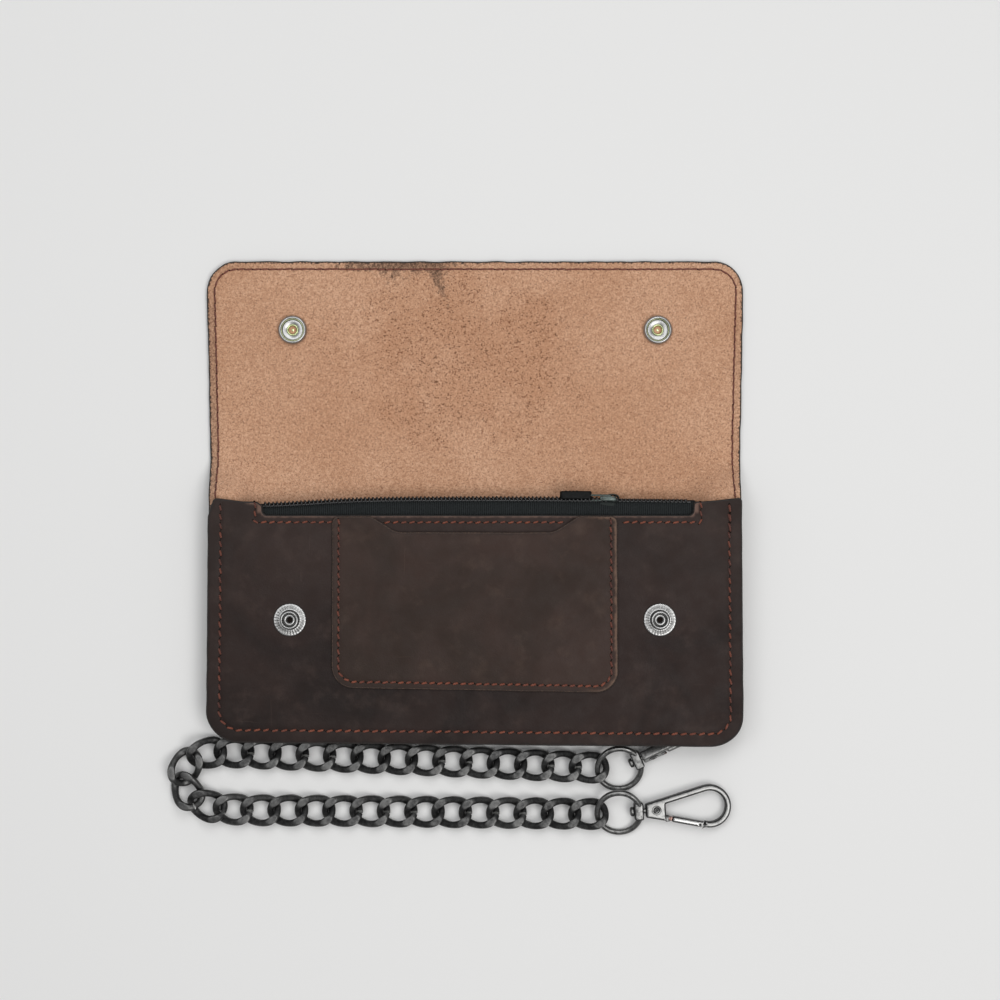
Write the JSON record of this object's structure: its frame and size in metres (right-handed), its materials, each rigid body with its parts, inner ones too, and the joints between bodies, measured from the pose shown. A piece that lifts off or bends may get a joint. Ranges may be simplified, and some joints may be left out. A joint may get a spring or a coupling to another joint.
{
  "type": "chain wallet",
  "caption": "Long leather wallet lying open, with a snap-down flap, zipped and bill compartments, card pocket, curb chain and swivel clasps.",
  "frame": {"origin": "centre of the wallet body's back face, the face that it lies on", "axes": "+X along the fold to the right, +Y from the body towards the laid-back flap, +Z out of the front panel"},
  "size_m": [0.2066, 0.2065, 0.0169],
  "materials": {
    "outer_leather": "oiled dark brown leather, satin",
    "flap_leather": "tan flesh side of the leather, matt and fuzzy",
    "pocket_leather": "oiled brown leather with paler cut edges",
    "lining": "thin brown lining leather, matt",
    "seam_thread": "waxed rust-coloured thread",
    "flap_thread": "waxed dark red-brown thread",
    "zip_tape": "black ribbed polyester tape",
    "zip_coil": "black nylon coil",
    "slider_metal": "dark grey-green lacquered zinc",
    "pull": "black moulded pull on a steel wire",
    "snap_nickel": "nickel-plated snap parts",
    "snap_brass": "brass caps",
    "clasp_metal": "antiqued nickel, brighter on worn edges",
    "gate_metal": "satin nickel",
    "pin_metal": "blackened steel",
    "chain_metal": "gunmetal with darker recesses"
  },
  "bodies": {
    "wallet_body": {"back_panel": "outer_leather", "front_panel": "outer_leather", "inner_panel": "lining", "card_pocket": "pocket_leather", "fold_strip": "flap_leather", "panel_threads": "seam_thread", "zip_tapes": "zip_tape", "zip_coils": "zip_coil", "snap_studs": "snap_nickel", "snap_posts": "snap_nickel", "chain_tab": "outer_leather", "tab_eyelet": "snap_nickel"},
    "flap": {"flap": "flap_leather", "flap_thread": "flap_thread", "snap_caps": "snap_brass", "snap_sockets": "snap_nickel"},
    "zip_slider": {"zip_slider": "slider_metal"},
    "zip_pull": {"zip_pull": "pull"},
    "wallet_clasp": {"wallet_clasp_hook": "clasp_metal", "wallet_clasp_rivets": "pin_metal", "wallet_clasp_swivel_pin": "pin_metal"},
    "wallet_clasp_gate": {"wallet_clasp_gate": "gate_metal"},
    "wallet_clasp_eye": {"wallet_clasp_eye": "clasp_metal"},
    "link_01": {"link_01": "chain_metal"},
    "link_02": {"link_02": "chain_metal"},
    "link_03": {"link_03": "chain_metal"},
    "link_04": {"link_04": "chain_metal"},
    "link_05": {"link_05": "chain_metal"},
    "link_06": {"link_06": "chain_metal"},
    "link_07": {"link_07": "chain_metal"},
    "link_08": {"link_08": "chain_metal"},
    "link_09": {"link_09": "chain_metal"},
    "link_10": {"link_10": "chain_metal"},
    "link_11": {"link_11": "chain_metal"},
    "link_12": {"link_12": "chain_metal"},
    "link_13": {"link_13": "chain_metal"},
    "link_14": {"link_14": "chain_metal"},
    "link_15": {"link_15": "chain_metal"},
    "link_16": {"link_16": "chain_metal"},
    "link_17": {"link_17": "chain_metal"},
    "link_18": {"link_18": "chain_metal"},
    "link_19": {"link_19": "chain_metal"},
    "link_20": {"link_20": "chain_metal"},
    "link_21": {"link_21": "chain_metal"},
    "link_22": {"link_22": "chain_metal"},
    "link_23": {"link_23": "chain_metal"},
    "link_24": {"link_24": "chain_metal"},
    "link_25": {"link_25": "chain_metal"},
    "link_26": {"link_26": "chain_metal"},
    "link_27": {"link_27": "chain_metal"},
    "link_28": {"link_28": "chain_metal"},
    "link_29": {"link_29": "chain_metal"},
    "link_30": {"link_30": "chain_metal"},
    "link_31": {"link_31": "chain_metal"},
    "link_32": {"link_32": "chain_metal"},
    "free_clasp_eye": {"free_clasp_eye": "clasp_metal"},
    "free_clasp": {"free_clasp_hook": "clasp_metal", "free_clasp_rivets": "pin_metal", "free_clasp_swivel_pin": "pin_metal"},
    "free_clasp_gate": {"free_clasp_gate": "gate_metal"}
  },
  "joints": [
    {"name": "flap_fold", "type": "hinge", "parent": "wallet_body", "child": "flap", "pos_m": [0, 0.0527, 0.0106], "axis": [1, 0, 0], "range_deg": [0, 180], "deforming": ["fold_strip"]},
    {"name": "zip_slide", "type": "slide", "parent": "wallet_body", "child": "zip_slider", "axis": [1, 0, 0], "range_m": [-0.114, 0.025]},
    {"name": "zip_pull_hinge", "type": "hinge", "parent": "zip_slider", "child": "zip_pull", "pos_m": [0.0485, 0.04505, 0.0097], "axis": [0, 0, -1], "range_deg": [0, 165]},
    {"name": "wallet_clasp_swing", "type": "hinge", "parent": "wallet_body", "child": "wallet_clasp", "pos_m": [0.08715, -0.03617, 0.00417], "axis": [0, 0, -1], "range_deg": [-60, 0]},
    {"name": "wallet_clasp_gate_hinge", "type": "hinge", "parent": "wallet_clasp", "child": "wallet_clasp_gate", "pos_m": [0.0679, -0.04531, 0.00195], "axis": [0.4289, -0.9033, 0], "range_deg": [0, 6], "stiffness_Nm_per_rad": 0.002},
    {"name": "wallet_clasp_swivel", "type": "hinge", "parent": "wallet_clasp", "child": "wallet_clasp_eye", "pos_m": [0.0517, -0.053, 0.00349], "axis": [0.9032, 0.4289, 0.0175], "range_deg": [-120, 0]},
    {"name": "link_01_hinge", "type": "hinge", "parent": "wallet_clasp_eye", "child": "link_01", "pos_m": [0.04571, -0.05275, 0.0036], "axis": [0, 0, 1], "range_deg": [-2.5, 0]},
    {"name": "link_02_hinge", "type": "hinge", "parent": "link_01", "child": "link_02", "pos_m": [0.03591, -0.05234, 0.0036], "axis": [0, 0, 1], "range_deg": [-3, 0]},
    {"name": "link_03_hinge", "type": "hinge", "parent": "link_02", "child": "link_03", "pos_m": [0.02611, -0.05193, 0.0036], "axis": [0, 0, 1], "range_deg": [-3, 0]},
    {"name": "link_04_hinge", "type": "hinge", "parent": "link_03", "child": "link_04", "pos_m": [0.01631, -0.05152, 0.0036], "axis": [0, 0, 1], "range_deg": [-3, 0]},
    {"name": "link_05_hinge", "type": "hinge", "parent": "link_04", "child": "link_05", "pos_m": [0.0065, -0.05111, 0.0036], "axis": [0, 0, 1], "range_deg": [-3, 0]},
    {"name": "link_06_hinge", "type": "hinge", "parent": "link_05", "child": "link_06", "pos_m": [-0.0033, -0.05069, 0.0036], "axis": [0, 0, 1], "range_deg": [-4, 0]},
    {"name": "link_07_hinge", "type": "hinge", "parent": "link_06", "child": "link_07", "pos_m": [-0.0131, -0.05028, 0.0036], "axis": [0, 0, 1], "range_deg": [-4, 0]},
    {"name": "link_08_hinge", "type": "hinge", "parent": "link_07", "child": "link_08", "pos_m": [-0.0229, -0.04987, 0.0036], "axis": [0, 0, 1], "range_deg": [-5, 0]},
    {"name": "link_09_hinge", "type": "hinge", "parent": "link_08", "child": "link_09", "pos_m": [-0.0327, -0.04946, 0.0036], "axis": [0, 0, 1], "range_deg": [-6, 0]},
    {"name": "link_10_hinge", "type": "hinge", "parent": "link_09", "child": "link_10", "pos_m": [-0.0425, -0.04905, 0.0036], "axis": [0, 0, 1], "range_deg": [-6, 0]},
    {"name": "link_11_hinge", "type": "hinge", "parent": "link_10", "child": "link_11", "pos_m": [-0.0523, -0.04864, 0.0036], "axis": [0, 0, 1], "range_deg": [-8, 0]},
    {"name": "link_12_hinge", "type": "hinge", "parent": "link_11", "child": "link_12", "pos_m": [-0.06211, -0.04823, 0.0036], "axis": [0, 0, 1], "range_deg": [-10, 0]},
    {"name": "link_13_hinge", "type": "hinge", "parent": "link_12", "child": "link_13", "pos_m": [-0.07191, -0.04782, 0.0036], "axis": [0, 0, 1], "range_deg": [-10, 0]},
    {"name": "link_14_hinge", "type": "hinge", "parent": "link_13", "child": "link_14", "pos_m": [-0.08171, -0.04741, 0.0036], "axis": [0, 0, 1], "range_deg": [-10, 0]},
    {"name": "link_15_hinge", "type": "hinge", "parent": "link_14", "child": "link_15", "pos_m": [-0.09146, -0.04735, 0.0036], "axis": [0, 0, 1], "range_deg": [-13, 0]},
    {"name": "link_16_hinge", "type": "hinge", "parent": "link_15", "child": "link_16", "pos_m": [-0.10011, -0.04995, 0.0036], "axis": [0, 0, 1], "range_deg": [-47, 0]},
    {"name": "link_17_hinge", "type": "hinge", "parent": "link_16", "child": "link_17", "pos_m": [-0.10371, -0.05665, 0.0036], "axis": [0, 0, 1], "range_deg": [-58, 0]},
    {"name": "link_18_hinge", "type": "hinge", "parent": "link_17", "child": "link_18", "pos_m": [-0.09986, -0.0635, 0.0036], "axis": [0, 0, 1], "range_deg": [-38, 0]},
    {"name": "link_19_hinge", "type": "hinge", "parent": "link_18", "child": "link_19", "pos_m": [-0.09156, -0.06685, 0.0036], "axis": [0, 0, 1], "range_deg": [-18, 0]},
    {"name": "link_20_hinge", "type": "hinge", "parent": "link_19", "child": "link_20", "pos_m": [-0.08201, -0.0678, 0.0036], "axis": [0, 0, 1], "range_deg": [-10, 0]},
    {"name": "link_21_hinge", "type": "hinge", "parent": "link_20", "child": "link_21", "pos_m": [-0.07221, -0.06805, 0.0036], "axis": [0, 0, 1], "range_deg": [-10, 0]},
    {"name": "link_22_hinge", "type": "hinge", "parent": "link_21", "child": "link_22", "pos_m": [-0.0624, -0.06815, 0.0036], "axis": [0, 0, 1], "range_deg": [-10, 0]},
    {"name": "link_23_hinge", "type": "hinge", "parent": "link_22", "child": "link_23", "pos_m": [-0.05259, -0.06825, 0.0036], "axis": [0, 0, 1], "range_deg": [-10, 0]},
    {"name": "link_24_hinge", "type": "hinge", "parent": "link_23", "child": "link_24", "pos_m": [-0.04278, -0.06836, 0.0036], "axis": [0, 0, 1], "range_deg": [-10, 0]},
    {"name": "link_25_hinge", "type": "hinge", "parent": "link_24", "child": "link_25", "pos_m": [-0.03297, -0.06846, 0.0036], "axis": [0, 0, 1], "range_deg": [-10, 0]},
    {"name": "link_26_hinge", "type": "hinge", "parent": "link_25", "child": "link_26", "pos_m": [-0.02316, -0.06856, 0.0036], "axis": [0, 0, 1], "range_deg": [-10, 0]},
    {"name": "link_27_hinge", "type": "hinge", "parent": "link_26", "child": "link_27", "pos_m": [-0.01335, -0.06866, 0.0036], "axis": [0, 0, 1], "range_deg": [-10, 0]},
    {"name": "link_28_hinge", "type": "hinge", "parent": "link_27", "child": "link_28", "pos_m": [-0.00354, -0.06877, 0.0036], "axis": [0, 0, 1], "range_deg": [-10, 0]},
    {"name": "link_29_hinge", "type": "hinge", "parent": "link_28", "child": "link_29", "pos_m": [0.00627, -0.06887, 0.0036], "axis": [0, 0, 1], "range_deg": [-10, 0]},
    {"name": "link_30_hinge", "type": "hinge", "parent": "link_29", "child": "link_30", "pos_m": [0.01608, -0.06897, 0.0036], "axis": [0, 0, 1], "range_deg": [-10, 0]},
    {"name": "link_31_hinge", "type": "hinge", "parent": "link_30", "child": "link_31", "pos_m": [0.02589, -0.06908, 0.0036], "axis": [0, 0, 1], "range_deg": [-10, 0]},
    {"name": "link_32_hinge", "type": "hinge", "parent": "link_31", "child": "link_32", "pos_m": [0.0357, -0.06918, 0.0036], "axis": [0, 0, 1], "range_deg": [-10, 0]},
    {"name": "free_clasp_eye_hinge", "type": "hinge", "parent": "link_32", "child": "free_clasp_eye", "pos_m": [0.0455, -0.06928, 0.0036], "axis": [0, 0, 1], "range_deg": [-12, 0]},
    {"name": "free_clasp_swivel", "type": "hinge", "parent": "free_clasp_eye", "child": "free_clasp", "pos_m": [0.0516, -0.06935, 0.00373], "axis": [0.9971, 0.0715, -0.0279], "continuous": true},
    {"name": "free_clasp_gate_hinge", "type": "hinge", "parent": "free_clasp", "child": "free_clasp_gate", "pos_m": [0.06968, -0.07126, 0.00323], "axis": [0.0279, 0.002, 0.9996], "range_deg": [0, 28], "stiffness_Nm_per_rad": 0.002}
  ]
}
